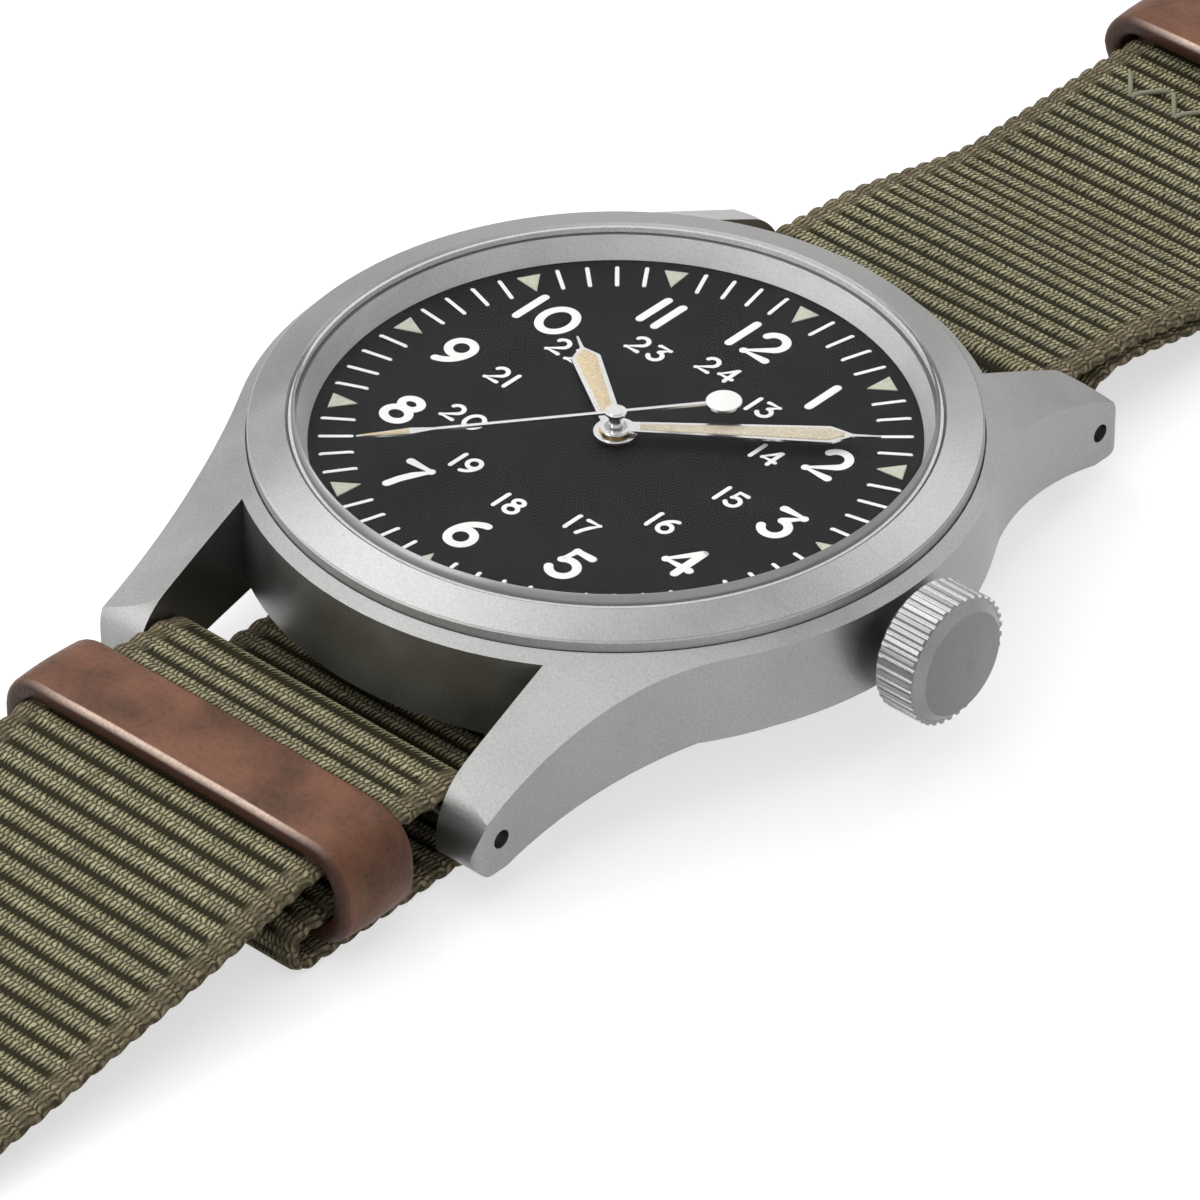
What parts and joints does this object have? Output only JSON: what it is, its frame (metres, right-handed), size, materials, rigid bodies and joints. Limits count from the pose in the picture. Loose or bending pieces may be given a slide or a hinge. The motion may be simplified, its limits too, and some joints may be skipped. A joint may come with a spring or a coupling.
{
  "type": "hand-wound field watch",
  "caption": "Steel field watch with a black dial, luminous hands and triangles, a fluted crown and an olive pass-through webbing strap with leather keepers, laid open.",
  "frame": {"origin": "on the table plane, under the middle of the dial", "axes": "+X towards 3 o'clock and the crown, +Y towards 12 o'clock and the buckle, +Z out of the dial"},
  "size_m": [0.0418, 0.2867, 0.0113],
  "materials": {
    "case_steel": "fine bead-blasted stainless steel",
    "bezel_steel": "blasted slope with a polished inner edge",
    "crystal": "clear, slightly domed",
    "gasket": "black sealing rubber",
    "crystal_gasket": "translucent nylon",
    "dial_black": "matte black with printed numerals, ticks and triangles",
    "hand_steel": "polished frame with tan luminous filling",
    "seconds_white": "white painted, tan luminous spear",
    "plate_nickel": "nickel plated plates and bridges",
    "gear_brass": "satin brass wheels",
    "movement_steel": "hardened steel pinions, levers and springs",
    "ring_plastic": "moulded movement holder",
    "webbing": "olive ribbed nylon webbing",
    "leather": "brown smooth leather",
    "buckle_steel": "blasted stainless steel"
  },
  "bodies": {
    "case": {"mid_case": "case_steel", "bezel": "bezel_steel", "crystal": "crystal", "crystal_gasket": "crystal_gasket", "case_back": "case_steel", "case_back_gasket": "gasket", "crown_tube": "case_steel", "dial": "dial_black", "movement_ring": "ring_plastic", "main_plate": "plate_nickel", "pallet_bridge": "plate_nickel", "barrel_bridge": "plate_nickel", "train_bridge": "plate_nickel", "balance_cock": "plate_nickel", "bridge_screws": "movement_steel", "hairspring": "movement_steel", "spring_bar_tubes": "case_steel", "spring_bar_springs": "movement_steel", "webbing_middle": "webbing", "underlay_middle": "webbing"},
    "seconds_train": {"fourth_wheel": "gear_brass", "seconds_hand": "seconds_white"},
    "third_train": {"third_wheel": "gear_brass"},
    "centre_train": {"centre_wheel": "gear_brass"},
    "escapement_wheel": {"escape_wheel": "movement_steel"},
    "pallets": {"pallet_fork": "movement_steel"},
    "balance": {"balance_wheel": "gear_brass"},
    "power": {"mainspring_barrel": "gear_brass", "mainspring": "movement_steel"},
    "minutes": {"cannon_pinion": "movement_steel", "minute_hand": "hand_steel"},
    "motion_work": {"minute_wheel": "gear_brass"},
    "hours": {"hour_wheel": "gear_brass", "hour_hand": "hand_steel"},
    "setting": {"setting_wheel": "movement_steel"},
    "ratchet": {"ratchet_wheel": "movement_steel", "barrel_arbor": "movement_steel"},
    "crown_gear": {"crown_wheel": "movement_steel"},
    "click_pawl": {"click": "movement_steel"},
    "winding": {"winding_pinion": "movement_steel"},
    "stem": {"winding_stem": "movement_steel", "crown": "case_steel", "crown_gasket": "gasket"},
    "clutch": {"sliding_pinion": "movement_steel"},
    "setting_lever_body": {"setting_lever": "movement_steel"},
    "yoke_body": {"yoke": "movement_steel"},
    "bar_tip_12_right": {"spring_bar_tip_12_right": "case_steel"},
    "bar_tip_12_left": {"spring_bar_tip_12_left": "case_steel"},
    "bar_tip_6_right": {"spring_bar_tip_6_right": "case_steel"},
    "bar_tip_6_left": {"spring_bar_tip_6_left": "case_steel"},
    "strap_buckle_side": {"webbing_buckle_side": "webbing", "underlay_buckle_side": "webbing", "fixed_keeper": "leather"},
    "sliding_keeper": {"free_keeper": "leather"},
    "buckle": {"buckle_frame": "buckle_steel", "buckle_bar": "buckle_steel"},
    "tongue": {"buckle_tongue": "buckle_steel"},
    "strap_tail_side": {"webbing_tail_side": "webbing", "underlay_keeper_end": "webbing", "lug_keeper": "leather"}
  },
  "joints": [
    {"name": "seconds_turn", "type": "hinge", "parent": "case", "child": "seconds_train", "pos_m": [0, 0, 0.0091], "axis": [0, 0, -1], "continuous": true},
    {"name": "third_turn", "type": "hinge", "parent": "case", "child": "third_train", "pos_m": [0.00171, -0.00367, 0.0091], "axis": [0, 0, -1], "continuous": true},
    {"name": "centre_turn", "type": "hinge", "parent": "case", "child": "centre_train", "pos_m": [0, 0, 0.0091], "axis": [0, 0, -1], "continuous": true},
    {"name": "escape_turn", "type": "hinge", "parent": "case", "child": "escapement_wheel", "pos_m": [-0.00371, -0.00135, 0.0091], "axis": [0, 0, -1], "continuous": true},
    {"name": "barrel_turn", "type": "hinge", "parent": "case", "child": "power", "pos_m": [0.00306, 0.0053, 0.0091], "axis": [0, 0, -1], "continuous": true},
    {"name": "minutes_turn", "type": "hinge", "parent": "case", "child": "minutes", "pos_m": [0, 0, 0.0091], "axis": [0, 0, -1], "continuous": true},
    {"name": "minute_wheel_turn", "type": "hinge", "parent": "case", "child": "motion_work", "pos_m": [0.00199, -0.00167, 0.0091], "axis": [0, 0, -1], "continuous": true},
    {"name": "hours_turn", "type": "hinge", "parent": "case", "child": "hours", "pos_m": [0, 0, 0.0091], "axis": [0, 0, -1], "continuous": true},
    {"name": "setting_wheel_turn", "type": "hinge", "parent": "case", "child": "setting", "pos_m": [0.00545, -0.0002, 0.0091], "axis": [0, 0, -1], "continuous": true},
    {"name": "pallet_swing", "type": "hinge", "parent": "case", "child": "pallets", "pos_m": [-0.00522, -0.00279, 0.0091], "axis": [0, 0, 1], "range_deg": [-4, 4]},
    {"name": "balance_swing", "type": "hinge", "parent": "case", "child": "balance", "pos_m": [-0.0069, -0.0044, 0.0091], "axis": [0, 0, 1], "range_deg": [-270, 270], "stiffness_Nm_per_rad": 0.0000002},
    {"name": "crown_turn", "type": "hinge", "parent": "case", "child": "winding", "pos_m": [0.0093, 0, 0.00651], "axis": [1, 0, 0], "continuous": true},
    {"name": "crown_wheel_turn", "type": "hinge", "parent": "case", "child": "crown_gear", "pos_m": [0.00659, 0, 0.0091], "axis": [0, 0, 1], "continuous": true},
    {"name": "ratchet_turn", "type": "hinge", "parent": "case", "child": "ratchet", "pos_m": [0.00306, 0.0053, 0.0091], "axis": [0, 0, 1], "continuous": true},
    {"name": "click_lift", "type": "hinge", "parent": "case", "child": "click_pawl", "pos_m": [0.00061, 0.00954, 0.0091], "axis": [0, 0, 1], "range_deg": [0, 6], "stiffness_Nm_per_rad": 0.000001},
    {"name": "crown_pull", "type": "slide", "parent": "winding", "child": "stem", "axis": [1, 0, 0], "range_m": [0, 0.0009]},
    {"name": "clutch_slide", "type": "slide", "parent": "winding", "child": "clutch", "axis": [1, 0, 0], "range_m": [-0.00062, 0]},
    {"name": "setting_lever_swing", "type": "hinge", "parent": "case", "child": "setting_lever_body", "pos_m": [0.01165, 0.0032, 0.0091], "axis": [0, 0, 1], "range_deg": [0, 16.01]},
    {"name": "yoke_swing", "type": "hinge", "parent": "case", "child": "yoke_body", "pos_m": [0.00829, -0.0036, 0.0091], "axis": [0, 0, 1], "range_deg": [0, 9.84]},
    {"name": "bar_tip_12_right_slide", "type": "slide", "parent": "case", "child": "bar_tip_12_right", "axis": [-1, 0, 0], "range_m": [0, 0.002], "stiffness_N_per_m": 400, "deforming": ["spring_bar_springs"]},
    {"name": "bar_tip_12_left_slide", "type": "slide", "parent": "case", "child": "bar_tip_12_left", "axis": [1, 0, 0], "range_m": [0, 0.002], "stiffness_N_per_m": 400, "deforming": ["spring_bar_springs"]},
    {"name": "bar_tip_6_right_slide", "type": "slide", "parent": "case", "child": "bar_tip_6_right", "axis": [-1, 0, 0], "range_m": [0, 0.002], "stiffness_N_per_m": 400, "deforming": ["spring_bar_springs"]},
    {"name": "bar_tip_6_left_slide", "type": "slide", "parent": "case", "child": "bar_tip_6_left", "axis": [1, 0, 0], "range_m": [0, 0.002], "stiffness_N_per_m": 400, "deforming": ["spring_bar_springs"]},
    {"name": "strap_tail_hinge", "type": "hinge", "parent": "case", "child": "strap_tail_side", "pos_m": [0, -0.02218, 0.00361], "axis": [1, 0, 0], "range_deg": [-30, 85], "deforming": ["underlay_middle"]},
    {"name": "strap_buckle_hinge", "type": "hinge", "parent": "case", "child": "strap_buckle_side", "pos_m": [0, 0.02218, 0.00361], "axis": [-1, 0, 0], "range_deg": [-30, 85], "deforming": ["underlay_middle"]},
    {"name": "free_keeper_slide", "type": "slide", "parent": "strap_buckle_side", "child": "sliding_keeper", "axis": [0, 1, 0], "range_m": [-0.012, 0.005]},
    {"name": "buckle_swing", "type": "hinge", "parent": "strap_buckle_side", "child": "buckle", "pos_m": [0, 0.098, 0.00172], "axis": [1, 0, 0], "range_deg": [-90, 60]},
    {"name": "tongue_swing", "type": "hinge", "parent": "buckle", "child": "tongue", "pos_m": [0, 0.098, 0.00172], "axis": [1, 0, 0], "range_deg": [0, 90]}
  ],
  "couplings": [
    {"joint": "third_turn", "follows": "seconds_turn", "ratio": -0.13333},
    {"joint": "centre_turn", "follows": "seconds_turn", "ratio": 0.016667},
    {"joint": "escape_turn", "follows": "seconds_turn", "ratio": -12},
    {"joint": "barrel_turn", "follows": "seconds_turn", "ratio": -0.0022222},
    {"joint": "minutes_turn", "follows": "seconds_turn", "ratio": 0.016667},
    {"joint": "minute_wheel_turn", "follows": "seconds_turn", "ratio": -0.0055556},
    {"joint": "hours_turn", "follows": "seconds_turn", "ratio": 0.0013889},
    {"joint": "setting_wheel_turn", "follows": "seconds_turn", "ratio": 0.0059524},
    {"joint": "crown_wheel_turn", "follows": "crown_turn", "ratio": 0.42424},
    {"joint": "ratchet_turn", "follows": "crown_turn", "ratio": -0.45161},
    {"joint": "clutch_slide", "follows": "crown_pull", "ratio": -0.68889},
    {"joint": "setting_lever_swing", "follows": "crown_pull", "rad_per_m": 310.43},
    {"joint": "yoke_swing", "follows": "crown_pull", "rad_per_m": 190.87}
  ]
}
